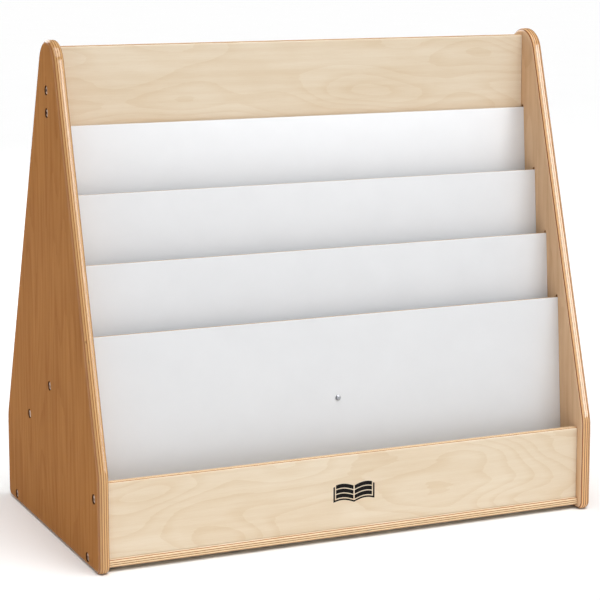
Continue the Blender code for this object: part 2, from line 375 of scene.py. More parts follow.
# %% The plywood group: its inputs and outputs
COLOUR = 'NodeSocketColor'
NUMBER = 'NodeSocketFloat'
VECTOR = 'NodeSocketVector'
PLYWOOD_INPUTS = [
    ("Board", VECTOR), ("Thickness", NUMBER), ("Layers", NUMBER), ("Seed", NUMBER),
    ("Figure", NUMBER), ("Figure Length", NUMBER), ("Streaks", NUMBER),
    ("Front Pale", COLOUR), ("Front Deep", COLOUR), ("Back Pale", COLOUR), ("Back Deep", COLOUR),
    ("Edge Pale", COLOUR), ("Edge Deep", COLOUR), ("Glue", COLOUR), ("Stain", NUMBER)]
PLYWOOD_OUTPUTS = [("Color", COLOUR), ("Roughness", NUMBER), ("Height", NUMBER)]


def open_tree(kind, name, inputs, outputs):
    """A node tree with named inputs, its graph helper and both of its ends."""
    tree = bpy.data.node_groups.new(name, kind)
    for label, socket_kind in inputs:
        tree.interface.new_socket(label, in_out='INPUT', socket_type=socket_kind)
    for label, socket_kind in outputs:
        tree.interface.new_socket(label, in_out='OUTPUT', socket_type=socket_kind)
    graph = Graph(tree)
    return graph, graph.add("NodeGroupInput").outputs, graph.add("NodeGroupOutput").inputs


ply, ply_in, ply_out = open_tree('ShaderNodeTree', "birch_plywood", PLYWOOD_INPUTS, PLYWOOD_OUTPUTS)

# %% Which layer a point is in
VENEER = 0.3           # thickness of a face veneer, as a share of one pair of layers
CROSSED_FROM = 0.68    # share of each pair of layers where the crossed one starts
CROSSED_MIDDLE = (1.0 + CROSSED_FROM) / 2

along, across, depth = ply.split(ply_in["Board"])
seed_shift = ply.times(ply_in["Seed"], 173.0)
waviness = ply.noise(ply.vector(ply.times_plus(along, 0.02, seed_shift),
                                ply.times(across, 0.02), 0.0), detail=1.0)
wavy_depth = ply.times_plus(ply.minus(waviness, 0.5), 0.3, depth)
inner_pairs = ply.times_plus(ply_in["Layers"], 0.5, -1.5)
pairs = ply.plus(inner_pairs, 2 * VENEER + 1.0 - CROSSED_FROM)
pair_thick = ply.math('DIVIDE', ply_in["Thickness"], pairs)
layer_place = ply.plus(ply.math('DIVIDE', wavy_depth, pair_thick), CROSSED_FROM - VENEER)
pair = ply.math('FLOOR', layer_place)
pair_share = ply.minus(layer_place, pair)
last_layer = ply.minus(ply_in["Layers"], 1.0)
crossed_here = ply.math('GREATER_THAN', pair_share, CROSSED_FROM)
layer = ply.times_plus(pair, 2.0, crossed_here)
layer = ply.math('MINIMUM', ply.math('MAXIMUM', layer, 0.0), last_layer)
crossed = ply.math('MODULO', layer, 2.0)
is_front = ply.math('LESS_THAN', layer, 0.5)
is_back = ply.math('GREATER_THAN', layer, ply.minus(last_layer, 0.5))
is_veneer = ply.math('MAXIMUM', is_front, is_back)
layer_seed = ply.times_plus(layer, 37.3, seed_shift)

# %% [markdown]
# In a crossed layer the fibres run across the board, so its two long coordinates change places.
# Everything below then works in the layer's own direction.

# %% Fibres, streaks and the peeled figure
fibre_u = ply.add("ShaderNodeMix", [(0, crossed), (2, along), (3, across)]).outputs[0]
fibre_v = ply.add("ShaderNodeMix", [(0, crossed), (2, across), (3, along)]).outputs[0]


def stretched(scale_u, scale_v, scale_w=0.0, extra=0.0):
    """Coordinates for a noise that is drawn out along the fibres. The scales are in cycles
    per millimetre along the fibres, across them and through the board."""
    u = ply.times_plus(fibre_u, scale_u, layer_seed)
    v = ply.times_plus(fibre_v, scale_v, extra)
    w = ply.times_plus(depth, scale_w, layer_seed)
    return ply.vector(u, v, w)


def spread(scale, slice_at):
    """Coordinates for a noise that is the same both ways."""
    return ply.vector(ply.times(along, scale), ply.times(across, scale), slice_at)


fibres = ply.noise(stretched(0.045, 1.5, 1.5), detail=3.0, roughness=0.6)
streaks = ply.noise(stretched(0.0045, 0.11, 0.0, 7.0), detail=3.0, roughness=0.55)
clouds = ply.noise(stretched(0.006, 0.018, 0.0, 3.0), detail=2.0)
hill_scale = ply.math('DIVIDE', 0.0034, ply_in["Figure Length"])
hills = ply.noise(stretched(hill_scale, 0.0105, 0.0, 11.0), detail=1.0, roughness=0.4)
wobble = ply.noise(stretched(0.02, 0.2, 0.0, 5.0), detail=2.0)
CONTOURS = 17.0    # growth rings between the lowest and the highest point of the hills
contour = ply.math('FRACT', ply.times_plus(wobble, 0.25, ply.times(hills, CONTOURS)))
growth_line = ply.ramp(contour, 0.45, 1.0)
flecks = ply.ramp(ply.noise(stretched(0.14, 2.4, 2.4, 2.0), detail=1.0), 0.66, 0.78)

# %% Veneer colour
figure = ply.times(growth_line, ply.times(ply_in["Figure"], 0.34))
streak_part = ply.times(ply.ramp(streaks, 0.3, 0.72), ply.times(ply_in["Streaks"], 0.55))
cloud_part = ply.times(ply.ramp(clouds, 0.3, 0.7), 0.22)
fibre_part = ply.times(ply.minus(fibres, 0.5), 0.45)
fleck_part = ply.times(flecks, 0.25)
depth_of_tone = ply.plus(ply.plus(figure, streak_part), ply.plus(cloud_part, fibre_part))
depth_of_tone = ply.plus(depth_of_tone, fleck_part)
front_face = ply.mix(depth_of_tone, ply_in["Front Pale"], ply_in["Front Deep"])
back_face = ply.mix(depth_of_tone, ply_in["Back Pale"], ply_in["Back Deep"])
veneer = ply.mix(is_back, front_face, back_face)

# %% [markdown]
# The cut layers get their own two tones, with a little change from layer to layer. Thin dark
# glue lines part them, and here and there a core layer has a small gap, as real plywood does.
# Next to the front face the layers are darkened towards its deep tone. This is painted shade on the
# outer roundover, where less light falls.

# %% Edge colour
tone_step = ply.add("ShaderNodeTexWhiteNoise", [("W", layer_seed)], noise_dimensions='1D')
layer_tone = ply.times_plus(tone_step.outputs["Value"], 0.16, 0.92)
edge_grain = ply.times_plus(ply.minus(fibres, 0.5), 0.35, 1.0)
edge = ply.mix(crossed, ply_in["Edge Pale"], ply_in["Edge Deep"])
edge = ply.tone(edge, ply.times(layer_tone, edge_grain))
depth_share = ply.math('DIVIDE', depth, ply_in["Thickness"])
# Painted shade: the layers nearest the front face are mixed towards its deep tone, which darkens
# the outer roundover.
stain = ply.times(ply.ramp(depth_share, 0.45, 0.1), ply_in["Stain"])
edge = ply.mix(stain, edge, ply_in["Front Deep"])
from_crossed = ply.math('ABSOLUTE', ply.minus(pair_share, CROSSED_MIDDLE))
from_glue = ply.math('ABSOLUTE', ply.minus(from_crossed, 1.0 - CROSSED_MIDDLE))
glue_line = ply.ramp(from_glue, 0.05, 0.01)
edge = ply.mix(ply.times(glue_line, 0.6), edge, ply_in["Glue"])
GAP_DARK = (0.03, 0.015, 0.008, 1.0)
gap_noise = ply.noise(spread(0.03, layer_seed))
gap = ply.times(ply.ramp(gap_noise, 0.73, 0.76), ply.minus(1.0, is_veneer))
edge = ply.mix(ply.times(gap, 0.85), edge, GAP_DARK)

# %% Join the two and finish the group
ply.join(ply.mix(is_veneer, edge, veneer), ply_out["Color"])
smudges = ply.noise(spread(0.02, seed_shift))
sheen = ply.times_plus(smudges, 0.14, ply.times(fibres, 0.16))
ply.join(ply.plus(sheen, 0.2), ply_out["Roughness"])
pits = ply.minus(ply.times(fibres, 0.6), ply.plus(flecks, ply.times(gap, 4.0)))
ply.join(pits, ply_out["Height"])
print("plywood group:", len(ply.tree.nodes), "nodes")

# %% [markdown]
# ## Finishes
# Each board gets its own material, so that its grain starts in its own place and its figure
# differs from its neighbours'. Clear lacquer is a thin coat over the wood: the Principled
# shader's coat gives the sharp highlight that runs along a roundover.

# %% A lacquered plywood material
PALE_VENEER = (swatch(232, 217, 194), swatch(211, 183, 145))
# Outer face veneer of the sides: the same birch as the inner faces. Its honey tone is partly a warm
# tint and partly painted shade, darker and warmer because the outer faces stood out of the light.
HONEY_AND_SHADE_VENEER = (swatch(181, 126, 72), swatch(152, 97, 50))
INNER_VENEER = (swatch(230, 195, 158), swatch(204, 162, 123))
PALE_LAYERS = (swatch(238, 214, 176), swatch(168, 110, 62))
# The two rims are one plywood, and these layer tones are lit and shaded copies of it, as painted
# light. The left rim is warmer and duller with faint stripes, as in shade. The right rim is paler
# with strong dark stripes, as in light.
LEFT_LAYERS_IN_SHADE = (swatch(216, 172, 118), swatch(158, 102, 56))
RIGHT_LAYERS_IN_LIGHT = (swatch(224, 178, 126), swatch(140, 78, 38))
GLUE = swatch(120, 76, 42)
BOARD_LAYERS = 9.0
SIDE_LAYERS = 11.0


def plywood_finish(name, origin, turn, thickness, layers, seed, front, back, edges,
                   figure=1.0, streaks=1.0, length=1.0, repeat=0.0, coat=0.2, stain=0.0):
    """front, back and edges are (pale, deep) colours."""
    made, graph, shader = new_material(name)
    space = board_space(graph, origin, turn)
    if repeat:
        space = wrapped_space(graph, space, repeat)
    pairs = [("Board", space), ("Thickness", thickness / MM), ("Layers", layers), ("Seed", seed),
             ("Figure", figure), ("Streaks", streaks), ("Figure Length", length),
             ("Glue", GLUE), ("Stain", stain)]
    for part, (pale, deep) in (("Front", front), ("Back", back), ("Edge", edges)):
        pairs += [(part + " Pale", pale), (part + " Deep", deep)]
    wood = graph.add("ShaderNodeGroup", pairs, node_tree=ply.tree)
    graph.feed(shader, [("Base Color", wood.outputs["Color"]), ("Coat Weight", coat),
                        ("Roughness", wood.outputs["Roughness"]), ("Coat Roughness", 0.1),
                        ("Specular IOR Level", 0.0)])
    graph.emboss(shader, wood.outputs["Height"], 0.35, 0.05 * MM)
    return made


def pale_finish(name, origin, turn, seed, figure, streaks, **more):
    return plywood_finish(name, origin, turn, BOARD_THICK, BOARD_LAYERS, seed, PALE_VENEER,
                          PALE_VENEER, PALE_LAYERS, figure, streaks, **more)


def dress(piece, material):
    piece.data.materials.clear()
    piece.data.materials.append(material)
    return piece


# %% [markdown]
# ## White laminate
# The display panels are fibreboard under thin white laminate. The faces are smooth with a faint
# ripple, and the sawn edges show the tan core between two white lines. The panels repeat at one
# pitch, so wrapping the depth coordinate at that pitch lets one material serve them all.

# %% Laminate material
CORE_HALF = 2.5      # millimetres from the middle of a panel to its white skin
WRAP_START = 10.0    # millimetres in front of a panel's face where its slice of space starts


def laminate_finish():
    made, graph, shader = new_material("white_laminate")
    turn = (rack_turn.to_3x3() @ board_axes((1, 0, 0), (0, 1, 0)).to_matrix()).to_euler()
    space = board_space(graph, rack_origin, turn)
    x, y, z = graph.split(space)

    def patches(along_x, along_y, detail):
        place = graph.vector(graph.times(x, along_x), graph.times(y, along_y), z)
        return graph.noise(place, detail=detail)

    depth = graph.math('WRAP', z, PITCH / MM - WRAP_START, -WRAP_START)
    from_middle = graph.math('ABSOLUTE', graph.minus(depth, PANEL_THICK / MM / 2))
    core = graph.ramp(from_middle, CORE_HALF + 0.12, CORE_HALF)
    chips = graph.noise(graph.vector(graph.times(x, 0.5), graph.times(y, 2.0),
                                     graph.times(z, 2.5)), detail=3.0)
    tan = graph.mix(chips, swatch(150, 112, 74), swatch(214, 178, 132))
    white = graph.mix(patches(0.02, 0.02, 3.0), swatch(219, 220, 222), swatch(225, 226, 228))
    specks = graph.ramp(patches(0.9, 0.9, 2.0), 0.74, 0.78)
    white = graph.mix(graph.times(specks, 0.12), white, swatch(150, 146, 140))
    colour = graph.mix(core, white, tan)
    sheen = graph.times_plus(patches(0.02, 0.12, 4.0), 0.18, 0.24)
    sheen = graph.times_plus(core, 0.35, sheen)
    graph.feed(shader, [("Base Color", colour), ("Roughness", sheen)])
    ripple = graph.times(patches(0.35, 0.35, 2.0), 0.5)
    height = graph.times_plus(core, graph.minus(chips, 1.0), ripple)
    graph.emboss(shader, height, 0.25, 0.06 * MM)
    return made


# %% [markdown]
# ## Metal
# The connector bolts are bronze plated, the panel screws zinc plated and the inserts brass.
# Plating is even in colour but not in gloss: tumbling leaves fine scuffs, and the colour is a
# little deeper where the finish pools. The same recipe with other colours serves all three.

# %% Metal material
def metal_finish(name, bright, dull, roughness):
    made, graph, shader = new_material(name)
    place = object_place(graph)
    scuffs = graph.noise(place, scale=900.0, detail=3.0, roughness=0.65)
    patches = graph.noise(place, scale=220.0, detail=2.0)
    colour = graph.mix(graph.ramp(patches, 0.35, 0.7), bright, dull)
    sheen = graph.times_plus(scuffs, 0.25, roughness)
    graph.feed(shader, [("Base Color", colour), ("Roughness", sheen), ("Metallic", 1.0)])
    graph.emboss(shader, scuffs, 0.2, 0.02 * MM)
    return made


bronze = metal_finish("bronze_plate", swatch(200, 172, 150), swatch(138, 106, 84), 0.24)
zinc = metal_finish("zinc_plate", swatch(168, 170, 174), swatch(112, 114, 118), 0.2)
brass = metal_finish("turned_brass", swatch(222, 190, 120), swatch(182, 148, 84), 0.2)
laminate = laminate_finish()

# %% [markdown]
# ## The side panels
# Each side is one plywood board cut to an A with vertical toes and a round crown, and both its
# rims are rounded over. The loft starts on the outer face, runs round the outer roundover, the
# rim and the inner roundover, and ends on the inner face.

# %% The A outline
CROWN_Y = 197 * MM
CROWN_RADIUS = 37 * MM
FRONT_TOE = 134 * MM
REAR_TOE = 128 * MM
FOOT_RADIUS = 12 * MM
KNEE_RADIUS = 60 * MM
SIDE_ROUNDOVER = 5.5 * MM
DEPTH = side_high.y - side_low.y
HEIGHT = 700 * MM


def lean_to_crown(toe_y, toe_z):
    """Direction of the edge that leaves a toe and touches the crown's circle."""
    centre = Vector((CROWN_Y - toe_y, HEIGHT - CROWN_RADIUS - toe_z))
    swing = math.asin(CROWN_RADIUS / centre.length)
    angle = math.atan2(centre.y, centre.x) + (swing if toe_y < CROWN_Y else -swing)
    return Vector((math.cos(angle), math.sin(angle)))


def side_corners():
    front = lean_to_crown(0.0, FRONT_TOE)
    rear = lean_to_crown(DEPTH, REAR_TOE)
    spread = front.x * rear.y - front.y * rear.x
    along_front = (DEPTH * rear.y - (REAR_TOE - FRONT_TOE) * rear.x) / spread
    apex = Vector((0.0, FRONT_TOE)) + front * along_front
    corners = [(0.0, 0.0, FOOT_RADIUS), (DEPTH, 0.0, FOOT_RADIUS), (DEPTH, REAR_TOE, KNEE_RADIUS),
               (apex.x, apex.y, CROWN_RADIUS), (0.0, FRONT_TOE, KNEE_RADIUS)]
    return [(FRONT_Y + y, z, radius) for y, z, radius in corners]


# %% Loft a side panel
ROUND_STEPS = 9


def roundover(radius, steps):
    """(inset, rise) pairs of a quarter circle, from the face to the rim."""
    turns = [math.pi / 2 * i / steps for i in range(steps + 1)]
    return [(radius * (1 - math.sin(a)), radius * (1 - math.cos(a))) for a in turns]


def side_panel(hand):
    direction = HANDS[hand]
    corners = side_corners()
    quarter = roundover(SIDE_ROUNDOVER, ROUND_STEPS)
    levels = [(inset, OUTER_X - rise) for inset, rise in quarter]
    levels += [(inset, INNER_X + rise) for inset, rise in reversed(quarter)]
    rings = [section(direction * x, rounded_outline(corners, inset)) for inset, x in levels]
    return lofted("side_%s" % hand, rings)


sides = {hand: side_panel(hand) for hand in HANDS}
count_faces(sides["left"])

# %% [markdown]
# ## Seats and slots in the sides
# A bolt's seat is a stepped bore with a slightly eased mouth, turned as one cutter. A panel's
# slot is what a straight router bit leaves: a groove with a round end just above the panel.

# %% Cutters for the sides
SEAT_RADIUS = 6.6 * MM
SEAT_DEPTH = 3.6 * MM
BOLT_RADIUS = 3.0 * MM
SLOT_DEPTH = 6.0 * MM
MOUTH = 0.4 * MM


def seat_cutter(hand, seat):
    shank = BOLT_RADIUS + GAP
    profile = [(shank, SEAT_DEPTH - SIDE_THICK - MM), (shank, 0.0), (SEAT_RADIUS, 0.0),
               (SEAT_RADIUS, SEAT_DEPTH - MOUTH), (SEAT_RADIUS + MOUTH, SEAT_DEPTH),
               (SEAT_RADIUS + 3 * MOUTH, SEAT_DEPTH + MM)]
    return turned_outwards("seat", profile, 40, HANDS[hand], OUTER_X - SEAT_DEPTH, seat)


def points_in_rack(node):
    """A CAD node's vertices in the rack's own directions."""
    return [rack.inverted() @ vertex.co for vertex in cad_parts[node].data.vertices]


def slot_cutter(node, round_end):
    """A groove for the ends of a panel or a pocket floor, in the rack's own directions."""
    local = points_in_rack(node)
    low = Vector([min(v[i] for v in local) for i in range(3)])
    high = Vector([max(v[i] for v in local) for i in range(3)])
    reach = INNER_X + SLOT_DEPTH
    outline = [Vector((low.y - GAP, low.z - GAP)), Vector((high.y + GAP, low.z - GAP))]
    if round_end:
        middle = Vector(((low.y + high.y) / 2, high.z + GAP))
        outline += arc(middle, (high.y - low.y) / 2 + GAP, 0.0, math.pi, 16)
    else:
        outline += [Vector((high.y + GAP, high.z + GAP)), Vector((low.y - GAP, high.z + GAP))]
    rings = [section(x, outline) for x in (-reach, reach)]
    return settle(lofted("slot_" + node, rings), rack)


# %% Cut the sides
FLOOR_NODES = ["pocket_floor_%d" % n for n in range(1, 4)]

for hand, side in sides.items():
    cutters = [seat_cutter(hand, seat) for seat in seats]
    cutters += [slot_cutter(node, True) for node in PANEL_NODES]
    cutters += [slot_cutter(node, False) for node in FLOOR_NODES]
    cut_away(side, cutters)
    count_faces(side)

# %% [markdown]
# Lacquer gathers on the round rims and shines there, while the wide faces stay satin. The walls of
# the bolt seats are painted nearly brown, as painted shade for the deep shadow in the gap round
# each bolt head. So each side gets three materials, and each polygon picks its own by where it
# lies.

# %% Finish the sides
FACE, RIM, SHADED_SEAT = 0, 1, 2
NEARLY_FLAT = 0.995
# Painted shade: the seat walls are near-brown to stand in for the shadow in the gap round each bolt
# head.
SEAT_WALL_SHADE = (swatch(112, 72, 42), swatch(66, 38, 20))


# The sides' edge shade setting darkens their outer roundovers towards the honey face, as painted
# shade.
def side_material(hand, part, front, back, edges, coat):
    direction = HANDS[hand]
    turn = board_axes((0, 0, 1), (-direction, 0, 0))
    seed = 1.0 + direction
    return plywood_finish("ply_%s_%s" % (hand, part), (direction * OUTER_X, FRONT_Y, 0), turn,
                          SIDE_THICK, SIDE_LAYERS, seed, front, back, edges, figure=0.65,
                          streaks=0.7, length=2.6, coat=coat, stain=0.4)


def part_of_side(polygon):
    centre = polygon.center
    near = min(math.hypot(centre.y - seat.y, centre.z - seat.z) for seat in seats)
    if near < SEAT_RADIUS + MOUTH / 2 and abs(centre.x) < OUTER_X - MOUTH / 4:
        return SHADED_SEAT
    return FACE if abs(polygon.normal.x) > NEARLY_FLAT else RIM


for hand, side in sides.items():
    # Painted light: each side's rim takes its own lit or shaded copy of the layer tones.
    layers = LEFT_LAYERS_IN_SHADE if hand == "left" else RIGHT_LAYERS_IN_LIGHT
    # The outer faces' honey tone is partly painted shade.
    dress(side, side_material(hand, "face", HONEY_AND_SHADE_VENEER, INNER_VENEER, layers, 0.04))
    side.data.materials.append(side_material(hand, "rim", HONEY_AND_SHADE_VENEER, INNER_VENEER, layers, 0.8))
    # The seat material's near-brown colour is painted shade.
    side.data.materials.append(side_material(hand, "seat", SEAT_WALL_SHADE, SEAT_WALL_SHADE, SEAT_WALL_SHADE, 0.15))
    for polygon in side.data.polygons:
        polygon.material_index = part_of_side(polygon)
    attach(side, BODY)
    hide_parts("side_panel_" + hand)

# %% [markdown]
# ## Boards that run from side to side
# The back board, lip, shelf and brace are the same kind of piece: a section with its own corner
# radii, drawn out between the sides. The two end rings are pulled in a little, which eases the
# end arrises. Bores for the inserts are cut into both ends.

# %% A board from its section
END_EASE = 0.5 * MM
INSERT_RADIUS = 4.2 * MM
END_BORE = 24 * MM
SQUARE = 0.4 * MM
TOP_EDGES = (SQUARE, SQUARE, 3 * MM, 3 * MM)
ALL_ALIKE = 4
UPRIGHT = board_axes((1, 0, 0), (0, 1, 0))


def board(name, low, high, radii, place=Matrix()):
    """radii: front bottom, back bottom, back top and front top edge."""
    ys = (low.y, high.y, high.y, low.y)
    zs = (low.z, low.z, high.z, high.z)
    corners = list(zip(ys, zs, radii))
    levels = [(low.x, END_EASE), (low.x + END_EASE, 0.0), (high.x - END_EASE, 0.0),
              (high.x, END_EASE)]
    rings = []
    for x, pull in levels:
        inset = min(pull, min(radii) * 0.9)
        rings.append(section(x, rounded_outline(corners, inset, math.radians(10))))
    return settle(lofted(name, rings), place)


def end_bore(hand, seat):
    profile = [(INSERT_RADIUS + GAP, -END_BORE), (INSERT_RADIUS + GAP, MM)]
    return turned_outwards("end_bore", profile, 32, HANDS[hand], INNER_X, seat)


def finish_board(piece, node, numbers, material):
    cut_away(piece, [end_bore(hand, seats[n - 1]) for hand in HANDS for n in numbers])
    dress(piece, material)
    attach(piece, BODY)
    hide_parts(node)
    count_faces(piece)


# %% Back board and front lip
def upright_board(node, numbers, finish_name, seed, figure):
    low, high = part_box(node)
    finish = pale_finish(finish_name, low, UPRIGHT, seed, figure, streaks=0.35)
    piece = board(node + "_piece", low, high, TOP_EDGES)
    finish_board(piece, node, numbers, finish)


upright_board("back_board", (1, 2), "ply_back_board", seed=4.0, figure=0.5)
upright_board("front_lip", (5,), "ply_lip", seed=7.0, figure=0.6)

# %% Bottom shelf
low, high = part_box("bottom_shelf")
shelf_finish = pale_finish("ply_shelf", (low.x, low.y, high.z),
                           board_axes((1, 0, 0), (0, 0, -1)), seed=9.0, figure=0.8, streaks=0.9)
shelf = board("bottom_shelf_piece", low, high, (4 * MM,) * ALL_ALIKE)
finish_board(shelf, "bottom_shelf", (6, 7), shelf_finish)

# %% Rear brace
brace_turn = Matrix.Rotation(-BRACE_SLOPE, 4, 'X')
brace_place = Matrix.Translation(middle_of("rear_brace")) @ brace_turn
BRACE_HALF_DEPTH = 87.5 * MM
brace_half = Vector((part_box("rear_brace")[1].x, BRACE_HALF_DEPTH, BOARD_THICK / 2))
through = brace_turn.to_3x3() @ Vector((0, 0, -1))
brace_top = brace_place @ Vector((-brace_half.x, -brace_half.y, brace_half.z))
brace_finish = pale_finish("ply_brace", brace_top, board_axes((1, 0, 0), through), seed=12.0,
                           figure=0.8, streaks=1.0)
brace = board("rear_brace_piece", -brace_half, brace_half, (2 * MM,) * ALL_ALIKE, brace_place)
finish_board(brace, "rear_brace", (3, 4), brace_finish)

# %% [markdown]
# ## Copies down the rack
# The panels, pocket floors and panel screws follow one rule: each next one stands one pitch
# further forward and one step lower, in directions that lean with the rack. Array modifiers
# could do this, but a node tree with named inputs says the rule once for all four kinds. It
# makes a line of points, puts the shape on each, and turns the whole row into the lean.

# %% Node tree: repeat down the rack
INTEGER = 'NodeSocketInt'
ANY_OBJECT = 'NodeSocketObject'
MATERIAL = 'NodeSocketMaterial'
SHAPE = [("Geometry", 'NodeSocketGeometry')]
ROW_INPUTS = SHAPE + [
    ("Count", INTEGER), ("Pitch", NUMBER), ("Step", NUMBER), ("Start", VECTOR), ("Spin", NUMBER),
    ("Seed", INTEGER), ("Rack Origin", VECTOR), ("Rack Lean", NUMBER), ("Material", MATERIAL)]


def close_tree(graph, instances, material, result):
    solid = graph.add("GeometryNodeRealizeInstances", [(0, instances)]).outputs[0]
    dressed = graph.add("GeometryNodeSetMaterial", [("Geometry", solid), ("Material", material)])
    graph.join(dressed.outputs[0], result[0])


def random_spin(graph, given):
    """A turn between nothing and the tree's Spin, drawn with the tree's own Seed."""
    pairs = [(2, 0.0), (3, given["Spin"]), ("Seed", given["Seed"])]
    return graph.add("FunctionNodeRandomValue", pairs, data_type='FLOAT').outputs[1]


row, row_in, row_out = open_tree('GeometryNodeTree', "repeat_down_the_rack", ROW_INPUTS, SHAPE)
downwards = row.vector(0.0, row.times(row_in["Pitch"], -1.0), row.times(row_in["Step"], -1.0))
pairs = [("Count", row_in["Count"]), ("Start Location", row_in["Start"]), ("Offset", downwards)]
line = row.add("GeometryNodeMeshLine", pairs)
spin = random_spin(row, row_in)
copies = row.add("GeometryNodeInstanceOnPoints",
                 [("Points", line.outputs[0]), ("Instance", row_in["Geometry"]),
                  ("Rotation", row.vector(0.0, spin, 0.0))])
leant = row.add("GeometryNodeTransform",
                [("Geometry", copies.outputs[0]), ("Translation", row_in["Rack Origin"]),
                 ("Rotation", row.vector(row.times(row_in["Rack Lean"], -1.0)))])
close_tree(row, leant.outputs[0], row_in["Material"], row_out)
print("rack tree:", len(row.tree.nodes), "nodes")


# %% Run a tree on a piece
def grow(piece, tree, **values):
    """Run a node tree on a piece with named inputs, and keep the result as a plain mesh."""
    modifier = piece.modifiers.new(tree.name, 'NODES')
    modifier.node_group = tree
    for item in tree.interface.items_tree:
        key = item.name.lower().replace(" ", "_")
        if item.item_type == 'SOCKET' and item.in_out == 'INPUT' and key in values:
            modifier[item.identifier] = values[key]
    plain_mesh(piece)
    return piece


def down_the_rack(piece, nodes, start, material, spin=0.0, seed=0):
    grow(piece, row.tree, count=len(nodes), pitch=PITCH, step=STEP, start=start, spin=spin,
         seed=seed, rack_origin=rack_origin, rack_lean=LEAN, material=material)
    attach(piece, BODY)
    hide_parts(*nodes)
    count_faces(piece)


# %% [markdown]
# ## Display panels
# A panel is a 6 mm white board with eased edges. The three lower ones have a clearance hole for
# the screw that holds them to the pocket floor behind. The lowest one is longer, because it
# reaches down to the bottom shelf.

# %% Make the panels
POCKET_DEPTH = 110 * MM
FLOOR_THICK = 12 * MM
SCREW_DROP = POCKET_DEPTH + FLOOR_THICK / 2
SCREW_RADIUS = 1.9 * MM
PANEL_REACH = INNER_X + SLOT_DEPTH - GAP
FORWARD_TURN = Matrix.Rotation(math.pi / 2, 4, 'X')    # points local +Z to the front


def rack_place(steps_down):
    return Vector((0, -steps_down * PITCH, -steps_down * STEP))


def panel_height(node):
    heights = [point.z for point in points_in_rack(node)]
    return max(heights) - min(heights)


def screw_bore(radius, depth, drop):
    """A bore of this depth into a board's front face, on an axis that is drop below the origin."""
    bore = turned("screw_bore", [(radius, -depth), (radius, MM)], 24)
    return settle(bore, Matrix.Translation((0, 0, -drop)) @ FORWARD_TURN)


def panel_shape(name, height, drilled):
    low = Vector((-PANEL_REACH, 0, -height))
    high = Vector((PANEL_REACH, PANEL_THICK, 0))
    shape = board(name, low, high, (0.7 * MM,) * ALL_ALIKE)
    if drilled:
        cut_away(shape, [screw_bore(SCREW_RADIUS + GAP, PANEL_THICK + MM, SCREW_DROP)])
    return shape


upper = panel_height(PANEL_NODES[0])
lowest = panel_height(PANEL_NODES[-1])
print("panel heights in mm:", round(upper / MM, 1), round(lowest / MM, 1))
rows = [("panel_highest", upper, False, 0, 1), ("panel_middle", upper, True, 1, 3),
        ("panel_lowest", lowest, True, 3, 4)]
for name, height, drilled, first, last in rows:
    down_the_rack(panel_shape(name, height, drilled), PANEL_NODES[first:last],
                  rack_place(first), laminate)

# %% [markdown]
# ## Pocket floors
# A book in a pocket stands on a plywood strip, which also carries the panel behind it. The
# strips repeat, so their plywood pattern wraps with the step as well.

# %% Make the pocket floors
PILOT_DEPTH = 24 * MM
floor_low = Vector((-PANEL_REACH, 0, -FLOOR_THICK))
floor_high = Vector((PANEL_REACH, PITCH - GAP, 0))
floor_shape = board("pocket_floors", floor_low, floor_high, (0.6 * MM,) * ALL_ALIKE)
cut_away(floor_shape, [screw_bore(SCREW_RADIUS, PILOT_DEPTH, FLOOR_THICK / 2)])
floor_start = Vector((0, PANEL_THICK - PITCH + GAP, -STEP - POCKET_DEPTH))
down = rack_turn.to_3x3() @ Vector((0, 0, -1))
floor_finish = pale_finish("ply_floors", rack @ floor_start, board_axes((1, 0, 0), down),
                           seed=15.0, figure=0.8, streaks=1.0, repeat=STEP)
down_the_rack(floor_shape, FLOOR_NODES, floor_start, floor_finish)

# %% [markdown]
# ## Panel screws
# Each is a pan-head wood screw with a cross recess. The recess is one more ring of the loft,
# whose radius depends on the angle, and the node tree gives each screw its own turn.

# %% Make the panel screws
SCREW_NODES = ["panel_screw_%d" % n for n in range(1, 4)]
SCREW_LENGTH = 26 * MM
SCREW_POINT = 4 * MM
SCREW_HEAD_RADIUS = 4 * MM
SCREW_HEAD_HEIGHT = 1.8 * MM
CROSS_LENGTH = 2.1 * MM
CROSS_WIDTH = 0.5 * MM


def share_of(limit, part):
    return limit / max(abs(part), 1e-6)


def cross(angle):
    c, s = math.cos(angle), math.sin(angle)
    level = min(share_of(CROSS_LENGTH, c), share_of(CROSS_WIDTH, s))
    upright = min(share_of(CROSS_WIDTH, c), share_of(CROSS_LENGTH, s))
    return max(level, upright)


def dome(radius, low, high, stop, steps):
    """Profile of a low dome from its rim up to the angle stop."""
    angles = [stop * i / steps for i in range(steps + 1)]
    return [(radius * math.cos(a), low + (high - low) * math.sin(a)) for a in angles]


screw_profile = [(0.3 * MM, -SCREW_LENGTH), (SCREW_RADIUS, -SCREW_LENGTH + SCREW_POINT),
                 (SCREW_RADIUS, GAP), (SCREW_HEAD_RADIUS - 0.2 * MM, GAP)]
screw_profile += dome(SCREW_HEAD_RADIUS, 0.6 * MM, SCREW_HEAD_HEIGHT, math.radians(55), 6)
screw_profile += [(cross, SCREW_HEAD_HEIGHT - 0.25 * MM), (cross, 0.7 * MM)]
screws = settle(turned("panel_screws", screw_profile, 64), FORWARD_TURN)
down_the_rack(screws, SCREW_NODES, rack_place(1) + Vector((0, 0, -SCREW_DROP)),
              zinc, spin=math.pi / 2, seed=5)

# %% [markdown]
# ## Connector bolts and inserts
# Fourteen bolts go through the sides into brass inserts in the board ends. The second node tree
# puts one shape on every seat: a point carries the side that it is on, the copy's axis turns
# to face out of that side, and a fixed seed gives each bolt its own turn in its seat.

